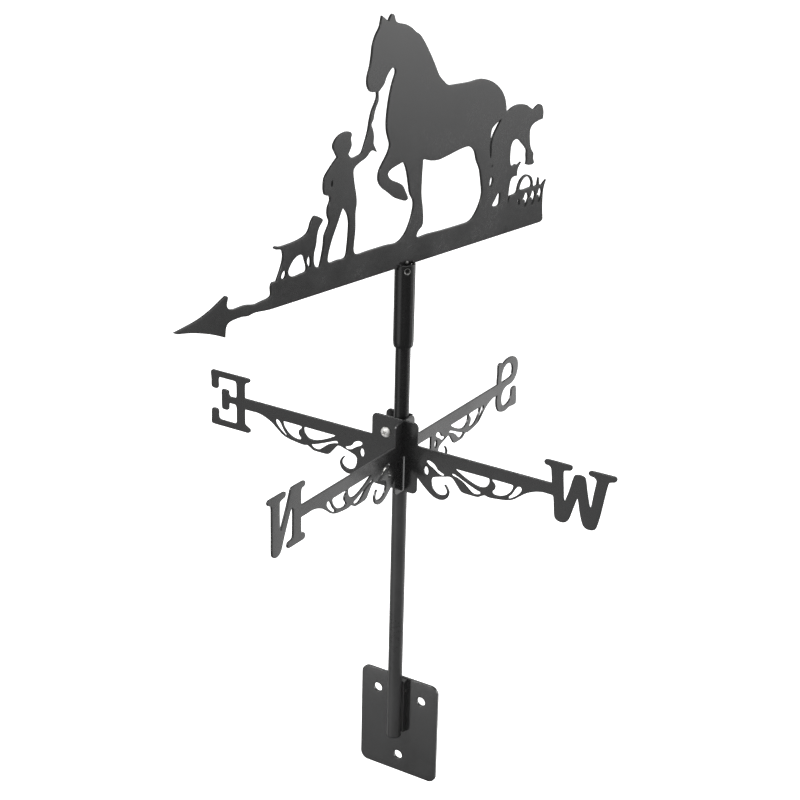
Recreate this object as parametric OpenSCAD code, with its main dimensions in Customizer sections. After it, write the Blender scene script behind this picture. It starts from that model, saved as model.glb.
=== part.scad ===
// Weather vane with a cut-steel farm scene turning on a wall-mounted mast.
// Millimetres, +Z up. The mast axis is vertical at x = 0. The back of the base
// plate lies in the plane y = 0 and the two upper wall holes are at z = 0.
// +X is west, -X is east, -Y is north and +Y is south.

/* [Mast] */
// outside diameter of the mast tubes
mast_d = 13.5; // [10:0.1:16]
// wall thickness of the mast tubes
mast_wall = 1.65; // [1.2:0.05:2.5]
// height of the mast's lower end above the datum line near the foot of the base plate
mast_low = 39; // [20:1:60]
// height of the mast's upper end above the datum line
mast_high = 488; // [470:1:489]

/* [Sleeve] */
// outside diameter of the turning sleeve
sleeve_d = 18.3; // [16:0.1:20]
// bore of the turning sleeve
sleeve_bore = 15; // [13.5:0.1:16]
// height of the sleeve's lower lip above the datum line
sleeve_low = 434.5; // [420:0.5:450]
// height of the sleeve's upper rim
sleeve_high = 510.5; // [500:0.5:520]
// radial running clearance of the bearings
run_gap = 0.05; // [0.02:0.01:0.1]

/* [Vane] */
// thickness of the cut plate that carries the scene
vane_t = 2.5; // [1.5:0.1:4]
// height of the plate's straight lower edge
vane_z = 508.5; // [505:0.5:515]
// direction in which the tail of the arrow points, from west towards south
vane_yaw = 80; // [0:1:359]

/* [Compass arms] */
// thickness of the two crossed compass plates
arm_t = 2.0; // [1.5:0.1:4]
// height of the lower edge of the hub above the datum line
hub_z = 300.5; // [250:0.5:400]
// height of the hub plates
hub_h = 68.5; // [60:0.5:80]
// height of the straight top of the bars above the hub's lower edge
bar_top = 47.5; // [44:0.5:52]
// depth of the bars
bar_h = 11; // [8:0.5:14]
// how much wider the east-west plate's slot is than the plate that crosses it
slot_play = 1.3; // [0.3:0.1:2]

/* [Base plate] */
// width of the wall plate
base_w = 84; // [70:1:110]
// height of the wall plate
base_h = 104; // [90:1:130]
// how far the wall plate reaches below the datum line
base_drop = 4.4; // [0:0.1:10]
// thickness of the wall plate
base_t = 3; // [2:0.5:5]
// corner radius of the wall plate
base_r = 8; // [4:1:15]
// diameter of the three wall holes
wall_hole_d = 9; // [6:0.5:10]
// distance between the two upper wall holes
wall_hole_gap = 48; // [40:1:60]
// height of the upper wall holes above the datum line
wall_hole_z = 79.5; // [70:0.5:90]
// height of the lower wall hole above the datum line
wall_low_z = 13; // [10:0.5:25]

/* [Hidden] */
e = 0.05;
mr = mast_d / 2;
mb = mr - mast_wall;
sr = sleeve_d / 2;
sb = sleeve_bore / 2;
in_face = mr + 0.05;
plate_c = in_face + arm_t / 2;
front_y = 8;
base_top = base_h - base_drop;
saddle_x = 9;
saddle_low = 44.5;
saddle_z = [57, 90];
wall_y = front_y + base_t;
split_z = hub_z + 34;
screw_x = -10.2;
north_x = in_face + arm_t;
screw_z = [hub_z + 14, hub_z + 52.8];
screw_r = 2.45;
cup_low = 496.5;
cup_high = 508.2;
grub_az = -44;
grub_z = 505.6;
tab_z = [14, 50.5];
set_y = 5.6;

// smooth curve through the given points, n steps to each span
function cr(a, b, c, d, t) = 0.5 * (2 * b + (c - a) * t + (2 * a - 5 * b + 4 * c - d) * t * t
    + (3 * b - a - 3 * c + d) * t * t * t);
function open_curve(p, n = 4) = let (m = len(p) - 1) [for (i = [0:m - 1]) for (k = [0:n - 1])
    cr(p[max(i - 1, 0)], p[i], p[i + 1], p[min(i + 2, m)], k / n)];
function loop(p, n = 4) = let (m = len(p)) [for (i = [0:m - 1]) for (k = [0:n - 1])
    cr(p[(i + m - 1) % m], p[i], p[(i + 1) % m], p[(i + 2) % m], k / n)];
function moved(p, a, b = 1, z = 0) = [for (q = p) [a + b * q[0], q[1] + z]];
function back(p) = [for (i = [len(p) - 1:-1:0]) p[i]];
function chain(a) = [for (s = a) for (q = open_curve(s)) q];

module frame() translate([0, -wall_y, -wall_hole_z]) children();
module tube(r, rb, z0, z1) difference() {
    translate([0, 0, z0]) cylinder(r = r, h = z1 - z0, $fn = 96);
    translate([0, 0, z0 - 1]) cylinder(r = rb, h = z1 - z0 + 2, $fn = 96);
}
module rod(r, z0, z1) translate([0, 0, z0]) cylinder(r = r, h = z1 - z0, $fn = 96);
// lays a flat drawing (x, z) up in the plane y = 0, t thick
module upright(t) rotate([90, 0, 0]) translate([0, 0, -t / 2]) linear_extrude(t) children();
module round_rect(x0, z0, x1, z1, r) {
    translate([x0 + r, z0]) square([x1 - x0 - 2 * r, z1 - z0]);
    translate([x0, z0 + r]) square([x1 - x0, z1 - z0 - 2 * r]);
    for (x = [x0 + r, x1 - r], z = [z0 + r, z1 - r]) translate([x, z]) circle(r = r, $fn = 48);
}

// ---- scene on the vane: outline in (along the plate, above its lower edge) ----
arrow_top = [[-263, 6], [-240, 10], [-225, 15], [-212, 21.5], [-208.5, 22.8], [-206.7, 21], [-208, 15],
    [-205.5, 11.5], [-200, 10], [-188, 10.3], [-178, 8.5], [-170, 9.2], [-163, 10], [-160.3, 11.5],
    [-160, 14]];
dog = [[-160, 20], [-158.5, 22], [-154, 22]];
dog_back = [[-154, 22], [-150, 30], [-147, 38], [-146.8, 44], [-149, 47.3], [-155, 48.8], [-156.7, 50.6],
    [-154.5, 51.4], [-150, 50.2], [-140, 50.3], [-129, 51.4], [-121, 53.8], [-117.5, 57.5], [-115.5, 62.5],
    [-112.5, 66.5], [-110, 67.3], [-106, 65.5], [-102.2, 62.8], [-102.5, 60.8], [-106.5, 56],
    [-108.5, 50], [-109.5, 43], [-111.7, 36], [-112, 29], [-110.5, 25], [-107.5, 22.8], [-105, 23]];
boy_back = [[-105, 23], [-102.5, 31], [-100.5, 40], [-99.5, 48], [-96.5, 53.5], [-94.2, 58.5], [-96.3, 65],
    [-96, 71], [-93.5, 76.5], [-94.5, 80.5], [-99.2, 82.2], [-100.8, 86], [-101, 92], [-99.5, 97.5],
    [-94.5, 103], [-89, 108], [-85.5, 111]];
boy_head = [[-85.5, 111], [-88.2, 115.5], [-90.5, 120], [-89, 124.5], [-84, 128.6], [-77, 130.4],
    [-71.5, 129.8], [-69.2, 127.5], [-70, 125]];
boy_face = [[-70, 125], [-69.6, 121], [-69.3, 118], [-71, 114.5], [-73, 111.5]];
boy_arm = [[-73, 111.5], [-70.5, 108.5], [-66.5, 107.3], [-61.5, 108], [-57, 109.8], [-53.5, 117],
    [-50, 126], [-48.3, 134], [-45.8, 142], [-42, 148.5], [-40, 153], [-40.4, 157.6]];
horse_head = [[-40.4, 157.6], [-46.5, 158], [-50, 161], [-51.8, 166], [-51.3, 172], [-48.8, 179],
    [-47, 188], [-46, 195.5], [-43, 203], [-38.3, 209.5], [-36.8, 214.5], [-35.8, 218.6]];
horse_ear = [[-35.8, 218.6], [-32, 216], [-28, 212.8]];
horse_back = [[-28, 212.8], [-25.8, 216.5], [-23.3, 218.5], [-21, 216.8], [-19, 212], [-14, 209.8],
    [-7, 208], [0, 204.5], [6, 200], [11, 197], [17, 190], [24, 180], [30.5, 169.5], [36, 160],
    [42, 154], [49, 149.3], [60, 148.3], [76, 147.6], [90, 148], [100, 146], [110, 141.5],
    [119, 134.5], [124.5, 127], [127.2, 119], [127.8, 113.3]];
man_back = [[127.8, 113.3], [131, 113.4], [137, 115.7], [145, 116.7], [155, 115], [162, 111],
    [166.5, 108.8], [171, 111], [175.3, 112.2], [179, 109.5], [180.8, 104], [180.4, 98]];
man_arm = [[180.4, 98], [174, 97.2], [167.5, 95.5], [163.3, 92], [162.6, 86], [163.8, 77], [166, 72],
    [169, 68], [169, 63.5], [170.8, 59.5]];
man_cuff = [[170.8, 59.5], [168.5, 57.8], [163.5, 58], [159.3, 59.2]];
man_chest = [[159.3, 59.2], [160.2, 63], [159.5, 68], [159.2, 73], [153, 79.5], [146.5, 84.8],
    [141, 85.2], [137.3, 82], [136, 75], [136.2, 67], [137.8, 62.3], [141, 61.6], [144.5, 62.3],
    [148, 61.4], [152, 63.2]];
man_knee = [[152, 63.2], [149.5, 60.3], [147.2, 57], [146.8, 51.3]];
man_leg = [[146.8, 51.3], [141, 51], [138, 48.5], [136.5, 42], [135.6, 34], [135.3, 27]];
basket = [[135.3, 27], [136.8, 31], [139, 34], [146, 34.8], [148.3, 37], [149.8, 42], [153.5, 47],
    [160.5, 49.6], [167, 47], [170.2, 42], [170.8, 38], [173.5, 36], [177.5, 36.8]];
horn_a = [[177.5, 36.8], [178.1, 40], [178.9, 43.5]];
horn_b = [[178.9, 43.5], [179.5, 40], [180.3, 36.8], [183, 35.2], [186.5, 37.2], [190, 39.5]];
bar_end = [[190, 39.5], [187.5, 34.5], [186.2, 29], [186, 20], [186.5, 11], [187.5, 3], [186, 0.8],
    [183, 0]];
bar_low = [[-168, 0.6], [-178, 1.5], [-186, 0.6], [-193, 1.5], [-204, 0.8], [-208.7, -2.5], [-210, -11.3]];
arrow_low = [[-210, -11.3], [-220, -6.8], [-230, -3], [-245, 1.5], [-263, 5]];
window = [[-58, 23.5], [-45, 23.8], [-25, 23.8], [-13, 23], [-6, 25.5], [0, 31], [5, 40], [8, 50],
    [7.5, 56.5], [3.5, 63], [1.5, 72], [-0.8, 82], [-4, 90], [-6.8, 92.3], [-13, 91.2], [-20.5, 89.3],
    [-24.8, 86.5], [-24, 83], [-20, 79.5], [-13, 76.3], [-6.5, 72.3], [-2.5, 66], [0.4, 60.3],
    [-1.5, 58.2], [-6, 59], [-16, 63.5], [-24, 69.5], [-31, 74.5], [-35.5, 80], [-36.5, 86],
    [-34.5, 92], [-29, 99], [-24.7, 105], [-23.2, 110.5], [-25, 116], [-27.2, 123], [-27.5, 133],
    [-25.5, 147], [-22, 160], [-18.2, 169], [-18.6, 172.7], [-21.5, 174.5], [-25, 172.5],
    [-29, 168], [-31.5, 163], [-34.5, 160], [-38.4, 157]];
rope = [[-38.4, 157], [-38.2, 150], [-40.2, 146], [-42.5, 141], [-44, 135]];
hand = [[-44, 135], [-46.2, 131.5], [-45.3, 129]];
crop = [[-45.3, 129], [-43.6, 124.5], [-43, 120], [-43.3, 115], [-41.5, 111.5], [-39, 107]];
boy_front = [[-39, 107], [-45.5, 109.3], [-52, 104.7], [-60, 101.7], [-65, 99], [-66.7, 95], [-65.2, 85],
    [-63, 75], [-62.5, 67.5], [-63.7, 60], [-63.6, 46], [-65, 34], [-65.3, 28.5], [-63, 24.6],
    [-58, 23.5]];
boy_legs = [[-78.3, 67], [-75.8, 65], [-72.6, 60], [-71, 53], [-71.3, 44], [-72.6, 32], [-74, 25.5],
    [-77, 23.7], [-84, 24], [-92, 23.6], [-95.6, 25.6], [-95.6, 30], [-93.2, 38], [-89.5, 46.5],
    [-84.5, 56], [-80.3, 64.8]];
belly = [[19.3, 89.8], [28, 87.3], [38, 86], [50, 87.4], [65, 90], [76, 90.8], [82, 89], [87, 84],
    [90, 75.5], [94.7, 66.5], [97.3, 55], [98.8, 45], [96.5, 36.5], [90.5, 27.5], [83, 22.2],
    [70, 21.5], [45, 21.7], [28, 22.4], [15.5, 22], [12.8, 24], [14.8, 27.7], [19.5, 31.3],
    [20.8, 37], [19.7, 48], [17.7, 60], [17.8, 75], [18.5, 86]];
slit = [[121, 107.6], [113, 103.8], [108.7, 100.5], [107.4, 93], [106.3, 85], [107.2, 78], [108.4, 74.5],
    [109, 80], [109, 88], [111.5, 94.5], [116, 100.5]];
dog_gaps = [[[-149, 24.5], [-147.3, 28], [-144.6, 29.3], [-143.3, 26.5], [-144.3, 23], [-147, 21.8]],
    [[-141, 27], [-138.5, 32], [-134, 36.5], [-128.5, 38.4], [-124, 36.7], [-122, 32],
     [-120.3, 26.5], [-121, 22.8], [-126, 22], [-134, 21.4], [-139, 23.2]],
    [[-120, 31], [-118.6, 34.6], [-116.6, 34.8], [-115.4, 30.5], [-115.8, 26.3], [-117.2, 25.2],
     [-119, 28]]];
small_gaps = [[[-93.3, 90], [-92.3, 93], [-90.9, 92.4], [-91, 90], [-92, 87.8]],
    [[108.4, 50], [109.3, 55.5], [111.2, 57.7], [113.2, 54], [112, 49.5], [110.1, 47.7]],
    [[110, 66.5], [110.3, 68.5], [111.3, 67], [111, 65.8]],
    [[113.4, 30.3], [117, 35], [121, 40], [123.7, 39.8], [124, 35], [123, 29.3], [118.5, 28.4]],
    [[151.6, 37.8], [152.5, 42], [156, 46.2], [160.5, 47.8], [165.3, 46], [168.5, 41.5],
     [168.4, 37.2], [163, 36.5], [156, 36.4]],
    [[149.4, 28.4], [151.4, 28.4], [152.4, 25.5], [151.5, 22.5], [150.2, 24]]];
hook = [[-4.5, 1], [-2, 2.5], [0, 6.5], [3.2, 6.3], [5.5, 2], [3.6, -2.5], [1, -6.5], [-1, -5.8], [0.2, -2],
    [-0.8, 0.8]];
hooks = [[160, 25.8, 1], [170.2, 25.8, 0.9], [180, 26.3, 0.85]];

module vane_outline() difference() {
    polygon(concat(chain([arrow_top, dog, dog_back, boy_back, boy_head, boy_face, boy_arm, horse_head,
        horse_ear, horse_back, man_back, man_arm, man_cuff, man_chest, man_knee, man_leg, basket,
        horn_a, horn_b, bar_end]), [[183, 0], [-160, 0]], chain([bar_low, arrow_low])));
    polygon(chain([window, rope, hand, crop, boy_front]));
    for (p = [boy_legs, belly, slit]) polygon(loop(p));
    for (p = dog_gaps) polygon(loop(p));
    for (p = small_gaps) polygon(loop(p));
    for (h = hooks) translate([h[0], h[1]]) polygon([for (q = loop(hook)) [h[2] * q[0], q[1]]]);
}
module on_yaw() frame() rotate([0, 0, vane_yaw]) children();
module vane_plate() color([0.15, 0.15, 0.15]) on_yaw()
    translate([0, 0, vane_z]) upright(vane_t) vane_outline();

// ---- turning parts ----
module rotor_sleeve() color([0.1, 0.1, 0.1]) frame() difference() {
    rotate_extrude($fn = 128) polygon([[sb, sleeve_low + 1], [sb + 0.3, sleeve_low],
        [sb + 0.7, sleeve_low], [sr - 0.2, sleeve_low + 3.5], [sr, sleeve_low + 5.5],
        [sr, sleeve_high - 0.4], [sr - 0.4, sleeve_high], [sb, sleeve_high]]);
    rotate([0, 0, vane_yaw]) translate([-sr - 1, -vane_t / 2 - 0.05, vane_z - 0.05])
        cube([2 * sr + 2, vane_t + 0.1, 5]);
    rotate([0, 0, grub_az]) translate([0, 0, grub_z]) rotate([0, 90, 0])
        cylinder(r = 2, h = sr + 2, $fn = 64);
}
module pivot_cup() color([0.05, 0.05, 0.05]) frame() difference() {
    rod(sb, cup_low, cup_high);
    translate([0, 0, cup_low - 1]) cylinder(r = 3 + run_gap, h = 6.5, $fn = 96);
    rotate([0, 0, grub_az]) translate([sb - 2.4, 0, grub_z]) rotate([0, 90, 0]) cylinder(r = 2, h = 4, $fn = 64);
}
module cup_set_screw() color([0.3, 0.3, 0.3]) frame() rotate([0, 0, grub_az])
    translate([sb - 2.35, 0, grub_z]) rotate([0, 90, 0]) difference() {
        cylinder(r = 1.95, h = 3.6, $fn = 64);
        translate([0, 0, 1.6]) cylinder(r = 1.15, h = 3, $fn = 6);
    }
module bush(z0) difference() {
    rod(sb, z0, z0 + 14);
    translate([0, 0, z0 - 1]) cylinder(r = mr + run_gap, h = 16, $fn = 96);
}
module upper_bush() color([0.05, 0.05, 0.05]) frame() bush(472);
module lower_bush() color([0.05, 0.05, 0.05]) frame() bush(436.5);
module vane_welds() color([0.35, 0.35, 0.35]) on_yaw() for (s = [-1, 1], f = [-1, 1]) difference() {
    translate([s * (sr - 0.8), f * (vane_t / 2 + 0.3), sleeve_high + 0.2]) sphere(r = 1.3, $fn = 40);
    translate([-30, -vane_t / 2, sleeve_high - 9]) cube([60, vane_t, 18]);
    rod(sr + 3, sleeve_high - 4, sleeve_high);
}

// ---- mast ----
module mast_upper() color([0.09, 0.09, 0.09]) frame() tube(mr, mb, split_z, mast_high);
module mast_lower() color([0.15, 0.15, 0.15]) frame() tube(mr, mb, mast_low + 1.5, split_z);
module mast_coupler() color([0.5, 0.5, 0.5]) frame() rod(mb, split_z - 32, split_z + 32);
module pivot_pin() color([0.6, 0.6, 0.6]) frame() {
    rod(mb, mast_high - 16, mast_high);
    rod(mr - 0.35, mast_high, mast_high + 2);
    rod(3, mast_high + 2, cup_low + 4.5);
    translate([0, 0, cup_low + 4.5]) cylinder(r1 = 3, r2 = 2.3, h = 0.7, $fn = 96);
}
module mast_foot_plug() color([0.08, 0.08, 0.08]) frame() {
    rod(mr, mast_low, mast_low + 1.5);
    rod(mb, mast_low + 1.5, mast_low + 14);
}

// ---- compass arms: one pattern in (distance from the mast, above the hub's lower edge) ----
scroll_low = [[156.5, 36.5], [150, 36.5], [143, 35], [135, 31.5], [128, 26.5], [122, 22], [115, 19.5],
    [105, 18], [98, 17.5], [94, 18.2], [91.3, 17.2], [87, 14.9], [80, 14.6], [71, 15.2], [66.5, 19.5],
    [62, 24.8], [58.5, 26.5], [52, 25], [45, 23], [40.7, 21], [39.4, 17.5], [40.5, 11.8], [43.5, 8],
    [48, 6.4], [53, 7.6], [55.5, 10.5], [55, 14], [52.7, 17]];
scroll_tip = [[52.7, 17], [54, 17.6], [56.5, 14.8], [58, 11], [56.3, 5.7], [52.3, 2.6], [47, 1.8], [41, 3.6],
    [34.5, 8.2], [28, 14]];
leaf_holes = [[[33.8, 35.2], [36.8, 36.6], [41.6, 34.8], [44.2, 32.2], [46, 29.9], [50.5, 28], [52.4, 26.6],
     [50, 25.4], [45.9, 26.4], [40.5, 30], [36.1, 32.3]],
    [[31.6, 26], [32.6, 29.6], [34.9, 29.8], [36.2, 26.2], [35.2, 22.6], [32.8, 22.6]],
    [[60.2, 29.4], [62, 30.4], [68, 28.2], [77, 24.4], [85, 21.4], [89.2, 20.2], [88.6, 18.2], [85, 16.8],
     [81, 17.3], [77, 20.2], [71.5, 24.5], [65.5, 27.2], [61, 28.2]],
    [[63.5, 35.4], [70, 35.6], [84, 35.6], [96, 35.6], [97.8, 34.3], [97.4, 30.5], [94.3, 26.5], [90, 25.1],
     [84, 25.6], [76, 28.4], [69, 31.8]],
    [[100.5, 35.2], [106, 35.6], [115, 35.6], [120.5, 35.4], [121.3, 33.8], [119.5, 29.5], [114.8, 24.5],
     [109, 21.9], [103, 21.5], [101, 23.5], [103.3, 26.8], [103.5, 30.5], [101, 33.2]],
    [[126, 35], [128.8, 35.4], [129.6, 32.5], [126, 27.5], [121, 23.5], [117.8, 21.7], [117.3, 23],
     [120.3, 26.5], [123.3, 31.8]]];
w_left = [[0, 36.5], [1.8, 35.8], [2.6, 32], [3, 27], [4, 18], [6.2, 14.7], [10.7, 13.5], [15.2, 14.8],
    [18, 18.5], [20.7, 27], [23.3, 35.5], [24.7, 39.6], [26, 36], [27.8, 27], [30.7, 18], [33.7, 14.5],
    [38.2, 13.7], [42.2, 14.9], [44.2, 18], [46.7, 28], [49, 41], [51.2, 54], [52.7, 60.3], [55, 62.2],
    [58.7, 63.4], [60.2, 66], [58.8, 68.2], [55.5, 68.5], [47, 68.4], [37.5, 68.2], [34.8, 67.6],
    [33.7, 65.3], [35.2, 63.4], [39, 62.8], [41.1, 61], [41.3, 58], [39.7, 48], [38.2, 37],
    [37.1, 34.4], [36, 37], [33.7, 47], [31.7, 57.5], [30, 60.5], [26, 61.4], [22, 60.6], [20, 58],
    [16.7, 45], [14, 36.5], [12.8, 34], [12, 36.5], [11.3, 45], [10.3, 57.5], [10.8, 61], [14, 62.4],
    [17.2, 63.3], [18.5, 65.6], [17.8, 67.6], [15, 68.2], [5, 68.3], [-4.5, 68.2], [-7.2, 67.5],
    [-8.2, 65.3], [-6.8, 63.2], [-3.7, 62.6], [-1.5, 60.8], [-0.8, 56], [-0.2, 50], [0, 47.5]];
e_out = [[0, 36.5], [0, 23], [-0.8, 20.6], [-3.5, 19], [-6, 17.6], [-6.3, 15.2], [-4, 13.4], [0, 13.3],
    [20, 13.3], [36, 13.4], [38.6, 15], [38.6, 20], [38.3, 27.5], [36.3, 29.6], [32.2, 29.6], [30.4, 27.8],
    [30.3, 22], [28.6, 19.6], [24, 19.4], [12, 19.4], [9.5, 21], [9.2, 26], [9.2, 35], [10.3, 38.2],
    [13, 38.6], [16.8, 38.5], [18.2, 37], [18.3, 33], [20, 31], [24.8, 31], [26.3, 33], [26.5, 41],
    [26.4, 49.3], [24.6, 51], [20, 51], [18.3, 50], [18.2, 47.4], [16.8, 45.4], [13, 45.3], [10.3, 45.7],
    [9.2, 48], [9.2, 58], [9.8, 61.2], [12, 62.1], [20, 62.1], [27.5, 62.1], [30, 61], [30.4, 57],
    [30.4, 52.3], [32, 50.2], [36, 50.2], [38.2, 52], [38.3, 59], [38.8, 65.5], [37, 68], [33, 68.2],
    [10, 68.2], [-4, 68.2], [-6.4, 66.6], [-5.4, 64.4], [-2.5, 63], [-0.3, 60.8], [0, 56], [0, 47.5]];
n_out = [[0, 36.5], [-0.2, 24.5], [-1.5, 21.8], [-4.3, 21], [-5.8, 18.4], [-4.8, 15.8], [-2, 15], [8, 15],
    [17.3, 15.2], [19.5, 17], [19.4, 19.5], [17, 21.1], [13.2, 21.6], [11.8, 24], [11.4, 34], [11.4, 45],
    [12.3, 49.3], [14.5, 48.8], [19, 39], [24, 27.5], [27.3, 19], [29.6, 15.6], [33, 14], [36.3, 14],
    [39.6, 15.8], [41, 20], [41, 35], [41, 50], [41.2, 60.5], [43.2, 62.8], [46.4, 64.8], [47, 67.2],
    [45, 68.9], [41, 69], [30, 69], [23.5, 68.6], [21.6, 66.7], [22.8, 63.7], [26, 62.8], [29.3, 61.8],
    [30, 59], [30, 48], [29.8, 38.5], [28.8, 36], [27.6, 38], [20, 54.5], [15.6, 65.5], [14.2, 68],
    [11, 68.8], [4, 68.7], [-2.5, 68.5], [-5.2, 67.5], [-5.7, 65], [-4, 63.2], [-1, 62.4], [0, 60],
    [0, 54], [0, 47.5]];
s_out = [[0, 36.5], [-0.8, 31], [0.5, 24], [4.5, 18.6], [10.5, 16], [18, 15.2], [25, 16.4], [31, 15.8],
    [37, 15.7], [38.6, 18], [38, 26], [37, 33.5], [34.5, 35.4], [29.8, 35], [28, 33], [27.8, 28],
    [25.3, 23.5], [20.5, 21.5], [15, 21.2], [11, 23.5], [9, 28], [9.3, 34], [13, 38.5], [18, 40.3],
    [26, 40.5], [32.5, 42.5], [37.2, 47.5], [39.2, 54.5], [37.6, 61.5], [32.5, 66.3], [26, 68.6],
    [18, 68.8], [12.5, 67.4], [9.5, 66.5], [6, 68.2], [2, 68.2], [0.3, 66], [0.4, 58], [0, 52.5],
    [0, 48.5]];
s_eye = [[8.3, 47.5], [8, 54], [10.5, 60], [15, 63], [20, 63.4], [25.5, 61.2], [28.5, 56.5], [28.3, 51.5],
    [26.5, 48.6], [20, 47.6], [14, 47.5]];

// edge of one arm: bar top, around the letter, then the scroll-work in to its tip
function arm_edge(a, b, r, p) = concat([[r, bar_top]], moved(open_curve(back(p)), r),
    [[r, bar_top - bar_h]], chain([moved(scroll_low, a, b), moved(scroll_tip, a, b)]));
function flip(p) = [for (q = back(p)) [-q[0], q[1]]];
// rounded corner of the hub plate
function corner(x, z, t) = [for (i = [6:-1:0]) [x + 5 * cos(t + i * 15), z + 5 * sin(t + i * 15)]];
function hub_foot(x0, x1) = concat(corner(x1 - 5, 5, 270), corner(x0 + 5, 5, 180));
function hub_head(x0, x1) = concat(corner(x0 + 5, hub_h - 5, 90), corner(x1 - 5, hub_h - 5, 0));
module leaf_gaps(a, b) for (q = leaf_holes) polygon(moved(loop(q), a, b));
module east_west_outline() difference() {
    polygon(concat(arm_edge(-1.6, 1, 156.5, w_left), [[22.8, 17.6]], hub_foot(-25.2, 22.8), [[-25.2, 18.2]],
        flip(arm_edge(1.5, 1, 166.8, e_out)), [[-25.2, bar_top]], hub_head(-25.2, 22.8),
        [[22.8, bar_top]]));
    leaf_gaps(-1.6, 1);
    mirror([1, 0]) leaf_gaps(1.5, 1);
    translate([plate_c - arm_t / 2 - 0.2, -1]) square([arm_t + slot_play, 35]);
    for (z = screw_z) translate([screw_x, z - hub_z]) circle(r = 2.75, $fn = 64);
}
module east_west_plate() color([0.16, 0.16, 0.16]) frame() translate([0, -plate_c, hub_z])
    upright(arm_t) east_west_outline();

// drawn along the plate with south to the right
module north_south_outline() difference() {
    polygon(concat(arm_edge(16.2, 0.9, 158.4, s_out), [[38, 18], [38, bar_top - bar_h], [north_x, bar_top - bar_h]],
        hub_foot(-22.5, north_x), [[-22.5, 16.6]], flip(arm_edge(-3.4, 1.018, 165.6, n_out)),
        [[-22.5, bar_top]], hub_head(-22.5, north_x), [[north_x, bar_top]]));
    leaf_gaps(16.2, 0.9);
    mirror([1, 0]) leaf_gaps(-3.4, 1.018);
    translate([158.4, 0]) polygon(loop(s_eye));
    for (z = tab_z) translate([in_face - 0.1, z - 0.1]) square([arm_t + 1, 10.2]);
    translate([-plate_c - arm_t / 2 - 0.2, 34]) square([arm_t + 0.4, hub_h]);
}
module north_south_plate() color([0.3, 0.3, 0.3]) frame() translate([plate_c, 0, hub_z])
    rotate([0, 0, 90]) upright(arm_t) north_south_outline();
module rear_clamp_plate() color([0.12, 0.12, 0.12]) frame() translate([0, plate_c, hub_z])
    upright(arm_t) difference() {
        union() {
            round_rect(-20.5, 1.5, in_face - 0.1, hub_h, 5);
            translate([-5, 1.5]) square([in_face + 4.9, 8]);
            translate([-5, hub_h - 8]) square([in_face + 4.9, 8]);
            for (z = tab_z) translate([0, z]) square([in_face + arm_t + 1, 10]);
        }
        for (z = screw_z) translate([screw_x, z - hub_z]) circle(r = 2.75, $fn = 64);
    }

// ---- hub fasteners ----
module each_screw() frame() for (z = screw_z) translate([screw_x, 0, z]) rotate([-90, 0, 0]) children();
module clamp_screws() color([0.75, 0.75, 0.75]) each_screw() translate([0, 0, -in_face - arm_t]) {
    difference() {
        rotate_extrude($fn = 96) polygon([[0, -3.3], [1.8, -3.2], [3.2, -2.8], [4.3, -2], [4.85, -1.1],
            [4.9, 0], [0, 0]]);
        for (a = [0, 90]) rotate([0, 0, a]) translate([-2.2, -0.55, -4]) cube([4.4, 1.1, 2.3]);
    }
    cylinder(r = screw_r, h = 2 * in_face + 2 * arm_t + 7, $fn = 64);
}
module clamp_washers() color([0.7, 0.7, 0.7]) each_screw() translate([0, 0, in_face + arm_t]) difference() {
    cylinder(r = 5, h = 1, $fn = 64);
    translate([0, 0, -1]) cylinder(r = 2.65, h = 3, $fn = 64);
}
module clamp_nuts() color([0.7, 0.7, 0.7]) each_screw() translate([0, 0, in_face + arm_t + 1]) difference() {
    cylinder(r = 4.62, h = 4, $fn = 6);
    translate([0, 0, -1]) cylinder(r = screw_r, h = 6, $fn = 64);
}

// ---- base ----
module base_plate() color([0.28, 0.28, 0.28]) frame() translate([0, front_y + base_t / 2, 0]) difference() {
    upright(base_t) difference() {
        round_rect(-base_w / 2, -base_drop, base_w / 2, base_top, base_r);
        for (x = [-1, 1]) translate([x * wall_hole_gap / 2, wall_hole_z]) circle(d = wall_hole_d, $fn = 96);
        translate([0, wall_low_z]) circle(d = wall_hole_d, $fn = 96);
        for (z = saddle_z) translate([0, z]) circle(r = 2.6, $fn = 64);
    }
    for (z = saddle_z) translate([0, base_t / 2 - 2.2, z]) rotate([-90, 0, 0])
        cylinder(r1 = 2.6, r2 = 4.8, h = 2.2 + e, $fn = 64);
}
module mast_saddle() color([0.06, 0.06, 0.06]) frame() difference() {
    translate([-saddle_x, 2, saddle_low]) cube([2 * saddle_x, front_y - 2, base_top - 0.5 - saddle_low]);
    rod(in_face, 40, base_h + 5);
    translate([0, set_y, 88]) rotate([0, 90, 0]) cylinder(r = 1.5, h = 12, $fn = 64);
    for (z = saddle_z) translate([0, 5, z]) rotate([-90, 0, 0]) cylinder(r = 2.5, h = 8, $fn = 64);
}
module saddle_screws() color([0.6, 0.6, 0.6]) frame() for (z = saddle_z)
    translate([0, wall_y, z]) rotate([90, 0, 0]) difference() {
        union() {
            cylinder(r1 = 4.7, r2 = 2.5, h = 2.2, $fn = 64);
            cylinder(r = 2.5, h = wall_y - in_face - 0.3, $fn = 64);
        }
        translate([0, 0, -1]) cylinder(r = 1.7, h = 2.8, $fn = 6);
    }
module saddle_set_screw() color([0.35, 0.35, 0.35]) frame() translate([6, set_y, 88]) rotate([0, 90, 0])
    difference() {
        cylinder(r = 1.45, h = 2.8, $fn = 64);
        translate([0, 0, 1.2]) cylinder(r = 0.87, h = 3, $fn = 6);
    }
module mast_welds() color([0.2, 0.2, 0.2]) frame() for (s = [-1, 1]) difference() {
    translate([s * (mr + 0.25), 1.75, 50]) cylinder(r = 0.75, h = 45, $fn = 48);
    rod(mr, 40, 110);
    translate([-saddle_x, 2, saddle_low]) cube([2 * saddle_x, front_y - 2, 58]);
}

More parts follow.
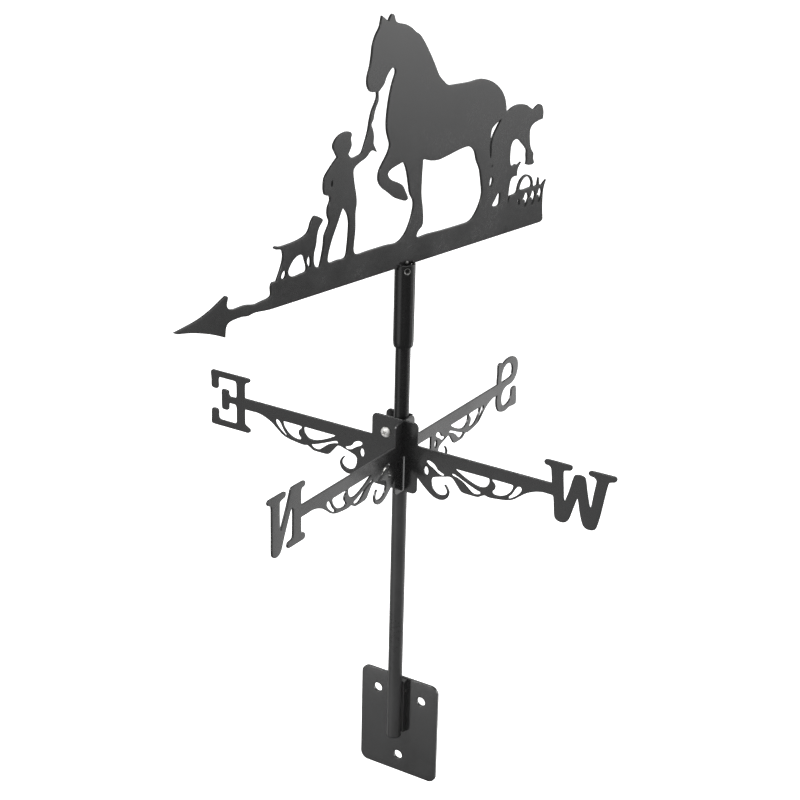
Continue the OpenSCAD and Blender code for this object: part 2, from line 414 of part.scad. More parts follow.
vane_plate();
rotor_sleeve();
pivot_cup();
cup_set_screw();
upper_bush();
lower_bush();
vane_welds();
mast_upper();
mast_lower();
mast_coupler();
pivot_pin();
mast_foot_plug();
east_west_plate();
north_south_plate();
rear_clamp_plate();
clamp_screws();
clamp_washers();
clamp_nuts();
base_plate();
mast_saddle();
saddle_screws();
saddle_set_screw();
mast_welds();
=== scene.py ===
import math
import bpy
import bmesh
import numpy as np
from mathutils import Matrix, Vector, noise
from mathutils.geometry import delaunay_2d_cdt


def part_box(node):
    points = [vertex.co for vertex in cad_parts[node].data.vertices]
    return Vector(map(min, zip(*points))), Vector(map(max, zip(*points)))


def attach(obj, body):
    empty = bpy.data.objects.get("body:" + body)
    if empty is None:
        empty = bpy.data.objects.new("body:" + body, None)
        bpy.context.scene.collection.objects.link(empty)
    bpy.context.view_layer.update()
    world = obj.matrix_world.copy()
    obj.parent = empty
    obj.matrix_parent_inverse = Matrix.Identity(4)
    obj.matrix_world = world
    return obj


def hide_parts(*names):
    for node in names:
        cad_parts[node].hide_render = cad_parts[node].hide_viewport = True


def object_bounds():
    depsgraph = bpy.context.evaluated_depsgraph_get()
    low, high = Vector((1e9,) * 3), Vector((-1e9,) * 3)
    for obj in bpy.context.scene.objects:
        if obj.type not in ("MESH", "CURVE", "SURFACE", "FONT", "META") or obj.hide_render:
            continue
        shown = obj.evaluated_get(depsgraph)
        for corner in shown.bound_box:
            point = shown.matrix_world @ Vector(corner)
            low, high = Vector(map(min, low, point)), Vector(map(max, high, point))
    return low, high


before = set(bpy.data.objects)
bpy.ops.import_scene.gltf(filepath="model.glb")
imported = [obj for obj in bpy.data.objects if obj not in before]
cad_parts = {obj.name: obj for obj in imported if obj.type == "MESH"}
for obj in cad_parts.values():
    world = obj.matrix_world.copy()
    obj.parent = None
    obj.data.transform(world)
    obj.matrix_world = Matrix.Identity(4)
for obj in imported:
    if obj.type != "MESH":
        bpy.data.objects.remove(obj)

# A weather vane on two bodies: "mast" stands still, "vane" turns about it. Lengths are in metres, except
# the 2-D outlines of the flat plates and the arguments of plate(), which are in millimetres.
cad_lo, cad_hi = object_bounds()
mm = 0.001
X, Y, Z = Vector((1, 0, 0)), Vector((0, 1, 0)), Vector((0, 0, 1))
TUBE_WALL = 1.65 * mm


# ---------------------------------------------------------------- places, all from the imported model
def mid(node):
    lo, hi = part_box(node)
    return (lo + hi) / 2


def radius_of(node):
    """radius of an upright round node"""
    lo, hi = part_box(node)
    return (hi.x - lo.x) / 2


def first(i, node):
    """what the first of several equal pieces stands for: the node that holds all of them"""
    return (node,) if i == 0 else ()


AXIS = Vector((*mid("mast_lower").xy, 0))                      # a point on the mast's axis
MAST_R = radius_of("mast_lower")
vane_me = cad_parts["vane_plate"].data
broad = max(vane_me.polygons, key=lambda f: f.area)
VN = Vector((*broad.normal.xy, 0)).normalized()                # out of the vane sheet's broad face
VU = Z.cross(VN).normalized()                                  # along the vane sheet

# ---------------------------------------------------------------- mesh helpers
DOUBLES = 2e-7              # points of a piece nearer than this are one point
NORMAL_WEIGHT = 60          # how strongly large faces lead the shading of their edges


def mesh_object(name, verts, faces):
    me = bpy.data.meshes.new(name)
    me.from_pydata([tuple(v) for v in verts], [], faces)
    o = bpy.data.objects.new(name, me)
    bpy.context.scene.collection.objects.link(o)
    return o


def clean(me):
    """joins doubled points and turns all faces outwards"""
    bm = bmesh.new()
    bm.from_mesh(me)
    bmesh.ops.remove_doubles(bm, verts=bm.verts, dist=DOUBLES)
    bmesh.ops.recalc_face_normals(bm, faces=bm.faces)
    bm.to_mesh(me)
    bm.free()


def loose(name, verts, faces):
    """a cutter or part of a piece, not yet riding on anything"""
    o = mesh_object(name, verts, faces)
    clean(o.data)
    return o


def finish_mesh(o, mat, body, stands_for=(), sharp=35, weighted=True):
    """material, body and shading of a piece. Edges over sharp degrees stay hard"""
    me = o.data
    clean(me)
    me.shade_smooth()
    me.set_sharp_from_angle(angle=math.radians(sharp))
    me.materials.clear()
    me.materials.append(mat)
    if weighted:
        w = o.modifiers.new("weighted", "WEIGHTED_NORMAL")
        w.keep_sharp = True
        w.weight = NORMAL_WEIGHT
    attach(o, body)
    if stands_for:
        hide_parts(*stands_for)


def new_object(name, verts, faces, mat, body, slot, stands_for=(), sharp=35, weighted=True):
    o = mesh_object(name, verts, faces)
    o.data.validate()
    finish_mesh(o, mat, body, stands_for, sharp, weighted)


def keep_result(o):
    """makes what the object's modifiers give its plain mesh"""
    dg = bpy.context.evaluated_depsgraph_get()
    me = bpy.data.meshes.new_from_object(o.evaluated_get(dg))
    o.modifiers.clear()
    old = o.data
    o.data = me
    bpy.data.meshes.remove(old)


def combine(o, others, how="DIFFERENCE"):
    """cuts the other loose meshes out of o, or with INTERSECT keeps what lies in them. They are used up"""
    for c in others:
        b = o.modifiers.new("b", "BOOLEAN")
        b.operation = how
        b.solver = "EXACT"
        b.object = c
    keep_result(o)
    for c in others:
        d = c.data
        bpy.data.objects.remove(c)
        bpy.data.meshes.remove(d)


def bevelled(o, width, segments, angle):
    """rounds the edges of a loose mesh that turn by more than angle degrees"""
    b = o.modifiers.new("bev", "BEVEL")
    b.width = width
    b.segments = segments
    b.limit_method = "ANGLE"
    b.angle_limit = math.radians(angle)
    b.use_clamp_overlap = True
    b.miter_outer = "MITER_ARC"
    keep_result(o)


def basis(axis):
    """two directions square to the axis, and the axis"""
    a = Vector(axis).normalized()
    b = a.orthogonal().normalized()
    return b, a.cross(b).normalized(), a


def lathe(profile, at, axis=Z, seg=96, closed=True):
    """verts, faces of a turned shape. profile is (radius, height) along axis from at"""
    b, c, a = basis(axis)
    verts, rings = [], []
    for r, h in profile:
        if r < 1e-9:
            rings.append([len(verts)])
            verts.append(at + a * h)
            continue
        ring = []
        for i in range(seg):
            t = 2 * math.pi * i / seg
            ring.append(len(verts))
            verts.append(at + a * h + (b * math.cos(t) + c * math.sin(t)) * r)
        rings.append(ring)
    pairs = list(zip(rings, rings[1:]))
    if closed:
        pairs.append((rings[-1], rings[0]))
    faces = []
    for p, q in pairs:
        for i in range(seg):
            j = (i + 1) % seg
            if len(p) == 1 and len(q) == 1:
                break
            if len(p) == 1:
                faces.append((p[0], q[i], q[j]))
            elif len(q) == 1:
                faces.append((p[i], q[0], p[j]))
            else:
                faces.append((p[i], q[i], q[j], p[j]))
    return verts, faces


def wall(r, z0, z1, n):
    """n even steps of a lathe profile along a straight wall, from z0 (left out) to z1"""
    return [(r, z0 + (z1 - z0) * i / n) for i in range(1, n + 1)]


def prism(points, at, u, v, w, length):
    """solid prism over 2-D points along u and v, length along w"""
    n = len(points)
    verts = [at + u * p[0] + v * p[1] for p in points]
    verts += [q + w * length for q in verts]
    faces = [tuple(range(n))[::-1], tuple(range(n, 2 * n))]
    faces += [(i, (i + 1) % n, n + (i + 1) % n, n + i) for i in range(n)]
    return verts, faces


def hexagon(radius, turn=0):
    return [(radius * math.cos(math.radians(60 * k + turn)),
             radius * math.sin(math.radians(60 * k + turn))) for k in range(6)]


def cut_socket(o, radius, turn, start, axis, length):
    """sinks a hexagon socket into a screw"""
    b, c, a = basis(axis)
    combine(o, [loose("cutter", *prism(hexagon(radius, turn), start, b, c, a, length))])


# ---------------------------------------------------------------- flat plates, from the CAD's outlines
CAD_DOUBLES = 3e-6          # points of a CAD mesh nearer than this are one point, metres
CAD_FLAT = 3e-5             # how far from its plane a point of the broad face may lie, metres
FACING = 0.99               # cosine from which a face looks along the plate's normal
NEAR = 0.04                 # outline points nearer than this are one point
NO_TURN = 0.25              # degrees: outline points that turn less are dropped
CORNER = 33.0               # degrees: points that turn more are true corners
STRAIGHT, PIECE = 9.0, 7.0  # spans over STRAIGHT stay straight, in pieces of about PIECE
SHORT, LONG = 0.35, 1.2     # spans under SHORT get no new point, only those over LONG get two
SLIGHT, BENT = 1.2, 5.0     # degrees a span bends from which it gets one or two new points
MITRE_SUM, MITRE_COS = 0.3, 0.6     # keep an offset point near its own at a sharp turn
ROW = 0.87                  # height of a row of even triangles, as a share of their side
CLEAR = 0.55                # share of the side that inner points keep from the outline
ROUND, MATCH = 0.1, 0.3     # how far a hole may be out of round, and off the radius asked for
SINK_LAND = 0.12            # depth of the broken edge where a countersink meets the back


def cap_loops(node, n):
    """outline loops of the node's flat face that looks along n, with material on their left"""
    u = Z.cross(n).normalized()
    bm = bmesh.new()
    bm.from_mesh(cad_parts[node].data)
    bmesh.ops.remove_doubles(bm, verts=bm.verts, dist=CAD_DOUBLES)
    bm.normal_update()
    far = max(v.co.dot(n) for v in bm.verts)
    cap = [f for f in bm.faces if f.normal.dot(n) > FACING
           and all(abs(v.co.dot(n) - far) < CAD_FLAT for v in f.verts)]
    in_cap = set(cap)
    follow = {}
    for f in cap:
        for l in f.loops:
            if sum(1 for g in l.edge.link_faces if g in in_cap) == 1:
                follow.setdefault(l.vert.index, []).append(l.link_loop_next.vert.index)
    bm.verts.ensure_lookup_table()
    loops = []
    while follow:
        start = min(follow)
        here, ring = start, []
        while here in follow:
            nxt = follow[here].pop(0)
            if not follow[here]:
                del follow[here]
            ring.append(here)
            here = nxt
            if here == start:
                break
        pts = np.array([(bm.verts[i].co.dot(u) / mm, bm.verts[i].co.z / mm) for i in ring])
        if len(pts) > 2:
            loops.append(pts)
    bm.free()
    return loops, far, u


def tidy_loop(p):
    """drops points that repeat their neighbour or lie on a straight line"""
    keep = [p[0]]
    for q in p[1:]:
        if np.hypot(*(q - keep[-1])) > NEAR:
            keep.append(q)
    if np.hypot(*(keep[0] - keep[-1])) < NEAR:
        keep.pop()
    p = np.array(keep)
    d0, d1 = p - np.roll(p, 1, 0), np.roll(p, -1, 0) - p
    turn = np.abs(np.arctan2(d0[:, 0] * d1[:, 1] - d0[:, 1] * d1[:, 0], (d0 * d1).sum(1)))
    return p[turn > math.radians(NO_TURN)]


def bend_of(tangent, way):
    return np.degrees(np.arccos(np.clip(tangent @ way, -1, 1)))


def smooth_loop(p):
    """even, rounder outline: Hermite spans through the points, true corners and long straight runs kept"""
    p = tidy_loop(p)
    n = len(p)
    d = np.roll(p, -1, 0) - p
    ln = np.hypot(d[:, 0], d[:, 1])
    d = d / ln[:, None]
    back, bl = np.roll(d, 1, 0), np.roll(ln, 1)
    cross = back[:, 0] * d[:, 1] - back[:, 1] * d[:, 0]
    turn = np.degrees(np.abs(np.arctan2(cross, (back * d).sum(1))))
    t = (back * ln[:, None] + d * bl[:, None])
    t = t / np.maximum(np.hypot(t[:, 0], t[:, 1]), 1e-9)[:, None]
    out = []
    for i in range(n):
        j = (i + 1) % n
        out.append(p[i])
        if ln[i] > STRAIGHT:
            k = int(ln[i] // PIECE)
            out += [p[i] + (p[j] - p[i]) * (s + 1) / (k + 1) for s in range(k)]
            continue
        ta = d[i] if turn[i] > CORNER else (back[i] if bl[i] > STRAIGHT else t[i])
        tb = d[i] if turn[j] > CORNER else (d[j] if ln[j] > STRAIGHT else t[j])
        bend = max(bend_of(ta, d[i]), bend_of(tb, d[i]))
        k = 0
        if ln[i] >= SHORT and bend > SLIGHT:
            k = 2 if bend > BENT and ln[i] > LONG else 1
        for s in range(k):
            x = (s + 1) / (k + 1)
            h = (2 * x ** 3 - 3 * x * x + 1, x ** 3 - 2 * x * x + x,
                 -2 * x ** 3 + 3 * x * x, x ** 3 - x * x)
            out.append(h[0] * p[i] + h[1] * ta * ln[i] + h[2] * p[j] + h[3] * tb * ln[i])
    return np.clip(np.array(out), p.min(0), p.max(0))


def offset_ring(p, d):
    """moves a closed loop to its left by d"""
    a = p - np.roll(p, 1, 0)
    a = a / np.hypot(a[:, 0], a[:, 1])[:, None]
    b = np.roll(a, -1, 0)
    na, nb = np.stack([-a[:, 1], a[:, 0]], 1), np.stack([-b[:, 1], b[:, 0]], 1)
    m = na + nb
    m = m / np.maximum(np.hypot(m[:, 0], m[:, 1]), MITRE_SUM)[:, None]
    s = 1 / np.maximum((m * na).sum(1), MITRE_COS)
    return p + m * (s * d)[:, None]


def inside(q, loops):
    """which of the points q lie in the area inside the loops"""
    c = np.zeros(len(q), bool)
    for a in loops:
        b = np.roll(a, -1, 0)
        up = (a[None, :, 1] > q[:, None, 1]) != (b[None, :, 1] > q[:, None, 1])
        dy = np.where(np.abs(b[:, 1] - a[:, 1]) < 1e-12, 1e-12, b[:, 1] - a[:, 1])
        slope = ((b[:, 0] - a[:, 0]) / dy)[None, :]
        x = a[None, :, 0] + (q[:, None, 1] - a[None, :, 1]) * slope
        c ^= ((up & (q[:, None, 0] < x)).sum(1) % 2).astype(bool)
    return c


def clear_of(q, loops):
    """each point's distance from the nearest loop"""
    best = np.full(len(q), 1e9)
    for a in loops:
        ab = np.roll(a, -1, 0) - a
        along = ((q[:, None] - a[None]) * ab[None]).sum(2)
        t = np.clip(along / np.maximum((ab * ab).sum(1), 1e-12)[None], 0, 1)
        e = q[:, None] - (a[None] + t[..., None] * ab[None])
        best = np.minimum(best, np.sqrt((e * e).sum(2)).min(1))
    return best


def fill(loops, step):
    """even triangles over the area inside the loops: vertices (loops first) and faces"""
    pts = np.concatenate(loops)
    lo, hi = pts.min(0), pts.max(0)
    gx, gy = np.arange(lo[0], hi[0], step), np.arange(lo[1], hi[1], step * ROW)
    g = np.array([(x + (0.5 * step if k % 2 else 0), y) for k, y in enumerate(gy) for x in gx])
    g = g[inside(g, loops)]
    if len(g):
        g = g[clear_of(g, loops) > CLEAR * step]
    if len(g):
        pts = np.concatenate([pts, g])
    edges, k = [], 0
    for p in loops:
        edges += [(k + i, k + (i + 1) % len(p)) for i in range(len(p))]
        k += len(p)
    vc, _, vf, ov, _, _ = delaunay_2d_cdt([Vector(p) for p in pts], edges, [], 0, 1e-6)
    index, extra = {}, []
    for i, src in enumerate(ov):
        if src:
            index[i] = src[0]
        else:
            index[i] = len(pts) + len(extra)
            extra.append((vc[i].x, vc[i].y))
    full = np.concatenate([pts, np.array(extra)]) if extra else pts
    faces = [tuple(index[i] for i in f) for f in vf]
    centres = np.array([full[list(f)].mean(0) for f in faces])
    return full, [f for f, ok in zip(faces, inside(centres, loops)) if ok]


def plate(name, node, n, thick, mat, body, slot, r=0.28, step=6.0, sink=None):
    """cut sheet: the node's outline with edges rounded to r and faces of even triangles of side step.
    sink is (hole radius, depth, radius at the back): round holes of that radius are countersunk"""
    loops, far, u = cap_loops(node, n)
    loops = [smooth_loop(p) for p in loops]
    # a profile is (how far into the material, how deep below the front face)
    front = [(r * (1 - math.sin(math.radians(a))), r * (1 - math.cos(math.radians(a))))
             for a in (0, 30, 60, 90)]
    back = [(o, thick - d) for o, d in reversed(front)]
    rings = []
    for p in loops:
        rad = np.hypot(*(p - p.mean(0)).T)
        prof = front + back
        is_round = rad.max() - rad.min() < ROUND
        if sink and is_round and abs(rad.mean() - sink[0]) < MATCH:
            grow = sink[2] - rad.mean()
            prof = front + [(0, thick - sink[1]), (grow - 0.1, thick - SINK_LAND), (grow, thick)]
        rings.append([(offset_ring(p, o), d) for o, d in prof])
    verts, faces = [], []

    def put(q, d):
        k = len(verts)
        for s in q:
            verts.append(u * (s[0] * mm) + Z * (s[1] * mm) + n * (far - d * mm))
        return k

    first_ring, last_ring = [], []
    for ring in rings:
        starts = [put(q, d) for q, d in ring]
        m = len(ring[0][0])
        for a, b in zip(starts, starts[1:]):
            faces += [(a + i, b + i, b + (i + 1) % m, a + (i + 1) % m) for i in range(m)]
        first_ring.append((starts[0], ring[0][0]))
        last_ring.append((starts[-1], ring[-1][0]))
    for group, depth, turned in ((first_ring, 0.0, False), (last_ring, thick, True)):
        full, tris = fill([q for _, q in group], step)
        where = []
        for s, q in group:
            where += list(range(s, s + len(q)))
        rest = put(full[len(where):], depth)
        where += list(range(rest, rest + len(full) - len(where)))
        faces += [tuple(where[i] for i in (f[::-1] if turned else f)) for f in tris]
    new_object(name, verts, faces, mat, body, slot, (node,), sharp=34)


# ---------------------------------------------------------------- materials
class Nodes:
    """short hand for a procedural material. Noise scales are in cycles per millimetre"""

    def __init__(self, name):
        self.m = bpy.data.materials.new(name)
        self.m.use_nodes = True
        self.t = self.m.node_tree
        self.t.nodes.clear()
        self.out = self.t.nodes.new("ShaderNodeOutputMaterial")
        self.bsdf = self.t.nodes.new("ShaderNodeBsdfPrincipled")
        self.t.links.new(self.bsdf.outputs[0], self.out.inputs[0])
        self.pos = self.t.nodes.new("ShaderNodeTexCoord").outputs["Object"]

    def link(self, a, b):
        """feeds a number, a colour or another node's output into the socket b"""
        if isinstance(a, (int, float)):
            b.default_value = a
        elif isinstance(a, tuple):
            b.default_value = (*a, 1)
        else:
            self.t.links.new(a, b)

    def surface(self, colour, rough, bump):
        self.link(colour, self.bsdf.inputs["Base Color"])
        self.link(rough, self.bsdf.inputs["Roughness"])
        self.link(bump, self.bsdf.inputs["Normal"])

    def mapped(self, stretch=(1, 1, 1)):
        n = self.t.nodes.new("ShaderNodeMapping")
        self.link(self.pos, n.inputs[0])
        n.inputs["Scale"].default_value = tuple(1000 * s for s in stretch)
        return n.outputs[0]

    def noise(self, scale, detail=3, rough=0.5, distort=0.0, stretch=(1, 1, 1)):
        n = self.t.nodes.new("ShaderNodeTexNoise")
        self.link(self.mapped(stretch), n.inputs["Vector"])
        n.inputs["Scale"].default_value = scale
        n.inputs["Detail"].default_value = detail
        n.inputs["Roughness"].default_value = rough
        n.inputs["Distortion"].default_value = distort
        return n.outputs["Fac"]

    def voronoi(self, scale, out="Distance"):
        n = self.t.nodes.new("ShaderNodeTexVoronoi")
        self.link(self.mapped(), n.inputs["Vector"])
        n.inputs["Scale"].default_value = scale
        return n.outputs[out]

    def ramp(self, v, a, b, lo=0.0, hi=1.0):
        """smooth step from lo, where v is a or less, to hi, where v is b or more"""
        n = self.t.nodes.new("ShaderNodeMapRange")
        n.clamp = True
        n.interpolation_type = "SMOOTHSTEP"
        self.link(v, n.inputs[0])
        for i, x in zip((1, 2, 3, 4), (a, b, lo, hi)):
            n.inputs[i].default_value = x
        return n.outputs[0]

    def math(self, op, a, b=0.0, c=0.0):
        n = self.t.nodes.new("ShaderNodeMath")
        n.operation = op
        for i, x in enumerate((a, b, c)):
            self.link(x, n.inputs[i])
        return n.outputs[0]

    def mix(self, f, a, b):
        n = self.t.nodes.new("ShaderNodeMix")
        n.data_type = "RGBA"
        for x, i in ((f, 0), (a, 6), (b, 7)):
            self.link(x, n.inputs[i])
        return n.outputs[2]

    def bump(self, h, strength, dist, before=None):
        n = self.t.nodes.new("ShaderNodeBump")
        n.inputs["Strength"].default_value = strength
        n.inputs["Distance"].default_value = dist
        self.link(h, n.inputs["Height"])
        if before is not None:
            self.link(before, n.inputs["Normal"])
        return n.outputs[0]

    def edge(self, radius, lo, hi):
        """1 on convex and concave edges, 0 on flats"""
        g = self.t.nodes.new("ShaderNodeNewGeometry")
        b = self.t.nodes.new("ShaderNodeBevel")
        b.samples = 4
        b.inputs["Radius"].default_value = radius
        d = self.t.nodes.new("ShaderNodeVectorMath")
        d.operation = "DOT_PRODUCT"
        self.link(b.outputs[0], d.inputs[0])
        self.link(g.outputs["Normal"], d.inputs[1])
        return self.ramp(d.outputs["Value"], lo, hi, 1.0, 0.0)


def tone(g, warm=0.0):
    return (g * (1 + warm), g, g * (1 - warm))


def powder(name, base, rough, peel, level, wear=0.35):
    """black powder coat: orange peel, fine grit, cloudy gloss, rubbed edges, a few hairline marks"""
    k = Nodes(name)
    cloud = k.noise(0.018, detail=4, rough=0.55)
    grit = k.noise(3.2, detail=4, rough=0.65)
    mottled = k.noise(0.22, detail=3, rough=0.6, distort=0.4)
    speck = k.ramp(k.voronoi(0.55), 0.05, 0.12, 1.0, 0.0)
    lone = k.ramp(k.noise(0.33, detail=1, rough=0.3), 0.62, 0.72)
    dust = k.math("MULTIPLY", speck, lone)
    line = k.noise(0.11, detail=2, rough=0.4, distort=1.2, stretch=(1, 1, 0.11))
    line = k.math("MULTIPLY_ADD", k.ramp(line, 0.4985, 0.5015), 2.0, -1.0)
    line = k.math("SUBTRACT", 1.0, k.math("ABSOLUTE", line))
    marks = k.math("MULTIPLY", line, k.ramp(k.noise(0.07, detail=2, rough=0.5), 0.58, 0.72))
    rubbed = k.ramp(k.noise(0.25, detail=4, rough=0.7), 0.35, 0.7)
    worn = k.math("MULTIPLY", k.edge(0.5 * mm, 0.55, 0.96), rubbed)
    col = k.mix(k.ramp(cloud, 0.3, 0.7), tone(base * 0.86), tone(base * 1.16, -0.01))
    col = k.mix(k.ramp(mottled, 0.3, 0.72, 0.0, 0.35), col, tone(base * 1.32, 0.01))
    col = k.mix(k.ramp(grit, 0.45, 0.75, 0.0, 0.3), col, tone(base * 1.75, 0.01))
    col = k.mix(k.math("MULTIPLY", dust, 0.25), col, tone(base * 4 + 0.02, 0.03))
    col = k.mix(k.math("MULTIPLY", marks, 0.22), col, tone(base * 2.6 + 0.02))
    col = k.mix(k.math("MULTIPLY", worn, wear), col, tone(base * 3.0 + 0.03))
    ro = k.math("ADD", k.ramp(cloud, 0.28, 0.72, rough - 0.05, rough + 0.06),
                k.ramp(grit, 0.3, 0.7, -0.035, 0.045))
    ro = k.math("ADD", ro, k.ramp(mottled, 0.3, 0.7, -0.02, 0.03))
    ro = k.math("SUBTRACT", ro, k.math("MULTIPLY", worn, 0.08))
    b = k.bump(k.noise(0.62, detail=2, rough=0.45), 0.16 * peel, 0.12 * mm)
    b = k.bump(grit, 0.10 * peel, 0.03 * mm, b)
    b = k.bump(dust, 0.25, 0.05 * mm, b)
    b = k.bump(marks, -0.2, 0.03 * mm, b)
    k.surface(col, ro, b)
    k.bsdf.inputs["Specular IOR Level"].default_value = level
    k.bsdf.inputs["IOR"].default_value = 1.5
    return k.m


def zinc(name, base, rough):
    """zinc plate: crystalline mottling, passivation tint, pits"""
    k = Nodes(name)
    sep = k.t.nodes.new("ShaderNodeSeparateColor")
    k.link(k.voronoi(0.9, "Color"), sep.inputs[0])
    cells = k.math("ADD", k.math("MULTIPLY", sep.outputs[0], 0.55),
                   k.math("MULTIPLY", k.noise(1.6, detail=4, rough=0.6), 0.45))
    pits = k.ramp(k.noise(3.4, detail=3, rough=0.55), 0.60, 0.72)
    tint = k.ramp(k.noise(0.5, detail=2, rough=0.5), 0.4, 0.7, 0.0, 0.4)
    col = k.mix(k.ramp(cells, 0.25, 0.75), tone(base * 0.62, 0.01), tone(base * 1.12, 0.015))
    col = k.mix(tint, col, (base * 0.92, base * 0.93, base * 0.82))
    col = k.mix(k.math("MULTIPLY", pits, 0.5), col, tone(base * 0.3))
    ro = k.math("ADD", k.ramp(cells, 0.2, 0.8, rough - 0.08, rough + 0.14),
                k.math("MULTIPLY", pits, 0.2))
    b = k.bump(cells, 0.3, 0.08 * mm)
    k.surface(col, ro, k.bump(pits, -0.3, 0.05 * mm, b))
    k.bsdf.inputs["Metallic"].default_value = 0.55
    return k.m


def steel(name, base, rough, dark, metal=1.0):
    """turned or blackened steel: fine tool lines round the axis, oil stains"""
    k = Nodes(name)
    stain = k.noise(0.12, detail=4, rough=0.6, distort=0.8)
    fine = k.noise(0.9, detail=2, rough=0.5, stretch=(0.15, 0.15, 3.0))
    spot = k.ramp(k.noise(1.3, detail=3, rough=0.6), 0.58, 0.7)
    col = k.mix(k.ramp(stain, 0.3, 0.72), tone(base), tone(base * dark, 0.03))
    col = k.mix(k.math("MULTIPLY", spot, 0.35), col, tone(base * 0.45, 0.05))
    col = k.mix(k.ramp(fine, 0.4, 0.62, 0.0, 0.3), col, tone(min(1.0, base * 1.35)))
    ro = k.math("ADD", k.ramp(stain, 0.3, 0.7, rough, rough + 0.14),
                k.ramp(fine, 0.3, 0.7, -0.05, 0.06))
    b = k.bump(fine, 0.18, 0.05 * mm)
    k.surface(col, ro, k.bump(spot, -0.2, 0.03 * mm, b))
    k.bsdf.inputs["Metallic"].default_value = metal
    return k.m


def plastic(name, colour, rough):
    """moulded plastic: faint flow lines, fine spark texture"""
    k = Nodes(name)
    flow = k.noise(0.08, detail=3, rough=0.5, distort=1.5)
    spark = k.noise(2.4, detail=3, rough=0.6)
    col = k.mix(k.ramp(flow, 0.35, 0.65), tuple(c * 0.93 for c in colour), colour)
    col = k.mix(k.ramp(spark, 0.5, 0.7, 0.0, 0.2), col, tuple(c * 0.82 for c in colour))
    ro = k.math("ADD", k.ramp(flow, 0.3, 0.7, rough - 0.04, rough + 0.05),
                k.ramp(spark, 0.3, 0.7, -0.03, 0.04))
    k.surface(col, ro, k.bump(spark, 0.12, 0.04 * mm))
    return k.m


vane_coat = powder("vane_powder_coat", base=0.01, rough=0.19, peel=0.7, level=0.5)
compass_coat = powder("compass_powder_coat", base=0.009, rough=0.24, peel=0.5, level=0.49)
sleeve_coat = powder("sleeve_gloss_coat", base=0.004, rough=0.24, peel=0.35, level=0.48)
mast_coat = powder("mast_powder_coat", base=0.021, rough=0.33, peel=0.7, level=0.5)
upper_coat = powder("upper_mast_coat", base=0.004, rough=0.25, peel=0.35, level=0.46)
base_coat = powder("base_powder_coat", base=0.013, rough=0.14, peel=0.6, level=0.6)
saddle_coat = powder("saddle_powder_coat", base=0.012, rough=0.42, peel=0.9, level=0.5)
weld_coat = powder("coated_weld", base=0.008, rough=0.36, peel=2.2, level=0.5, wear=0.5)
zinc_plate = zinc("zinc_plate", base=0.6, rough=0.4)
black_steel = steel("blackened_steel", base=0.2, rough=0.34, dark=0.5, metal=0.8)
# very dark steel for the sleeve's set screw: painted shade, standing in for the shade deep in its hole
hole_shade_socket_steel = steel("socket_steel_painted_hole_shade", base=0.04, rough=0.42, dark=0.5, metal=0.5)
bright_steel = steel("turned_steel", base=0.5, rough=0.3, dark=0.62)
nylon = plastic("bearing_nylon", (0.021, 0.021, 0.022), rough=0.42)
plug_plastic = plastic("black_plug_plastic", (0.017, 0.017, 0.018), rough=0.5)
# light bare metal for the tack weld on the sheet, also used as a painted highlight ring round the set
# screw's hole
spatter_and_highlight_metal = zinc("bare_weld_metal_and_painted_highlight", base=0.23, rough=0.42)

# ---------------------------------------------------------------- the vane
across = [v.co.dot(VN) for v in vane_me.vertices]
VANE_T = (max(across) - min(across)) / mm
plate("vane_sheet", "vane_plate", VN, VANE_T, vane_coat, "vane", "vane_coat", step=7.0)

# turning sleeve: crimped lower lip, rounded rim, slot for the sheet, hole for the set screw
sleeve_lo, sleeve_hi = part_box("rotor_sleeve")
lip, rim = sleeve_lo.z, sleeve_hi.z
r_in, r_out = radius_of("pivot_cup"), radius_of("rotor_sleeve")
prof = [(r_in, lip + 1 * mm), (r_in + .1 * mm, lip + .4 * mm), (r_in + .35 * mm, lip + .06 * mm),
        (r_in + .6 * mm, lip), (r_in + .8 * mm, lip + .1 * mm), (r_in + 1.0 * mm, lip + .5 * mm),
        (r_out - .28 * mm, lip + 2.2 * mm), (r_out - .2 * mm, lip + 3.4 * mm),
        (r_out - .07 * mm, lip + 4.6 * mm), (r_out, lip + 5.6 * mm)]
prof += wall(r_out, lip + 5.6 * mm, rim - .5 * mm, 9)
prof += [(r_out - .06 * mm, rim - .28 * mm), (r_out - .22 * mm, rim - .08 * mm), (r_out - .45 * mm, rim),
         (r_in + .25 * mm, rim), (r_in + .06 * mm, rim - .08 * mm), (r_in, rim - .25 * mm)]
prof += wall(r_in, rim - .25 * mm, lip + 1 * mm, 9)[:-1]
sleeve = loose("sleeve_tube", *lathe(prof, AXIS, Z, 128))

SLOT_PLAY = 0.04                    # mm between the sheet's face and the slot's side
half = (VANE_T / 2 + SLOT_PLAY) * mm
reach = r_out + 2 * mm
sheet_foot = min(v.co.z for v in vane_me.vertices
                 if (v.co - AXIS).xy.length > reach and abs(v.co.z - rim) < 4 * mm)
slot = [(-reach, -half), (reach, -half), (reach, half), (-reach, half)]
cut_slot = loose("slot_cutter", *prism(slot, AXIS + Z * (sheet_foot - .05 * mm), VU, VN, Z, 8 * mm))

HOLE_R, SINK_R = 2.0 * mm, 3.5 * mm     # the set screw's hole, and its countersink
grub_mid = mid("cup_set_screw")
grub_way = Vector((grub_mid.x - AXIS.x, grub_mid.y - AXIS.y, 0)).normalized()
hole_at = Vector((AXIS.x, AXIS.y, grub_mid.z))
hole = [(HOLE_R, 4 * mm), (HOLE_R, r_out - 1.0 * mm), (SINK_R, r_out + .15 * mm),
        (SINK_R, r_out + 3 * mm), (0, r_out + 3 * mm), (0, 4 * mm)]
cut_hole = loose("hole_cutter", *lathe(hole, hole_at, grub_way, 48, closed=False))
combine(sleeve, [cut_slot, cut_hole])
finish_mesh(sleeve, sleeve_coat, "vane", ("rotor_sleeve",), sharp=38)
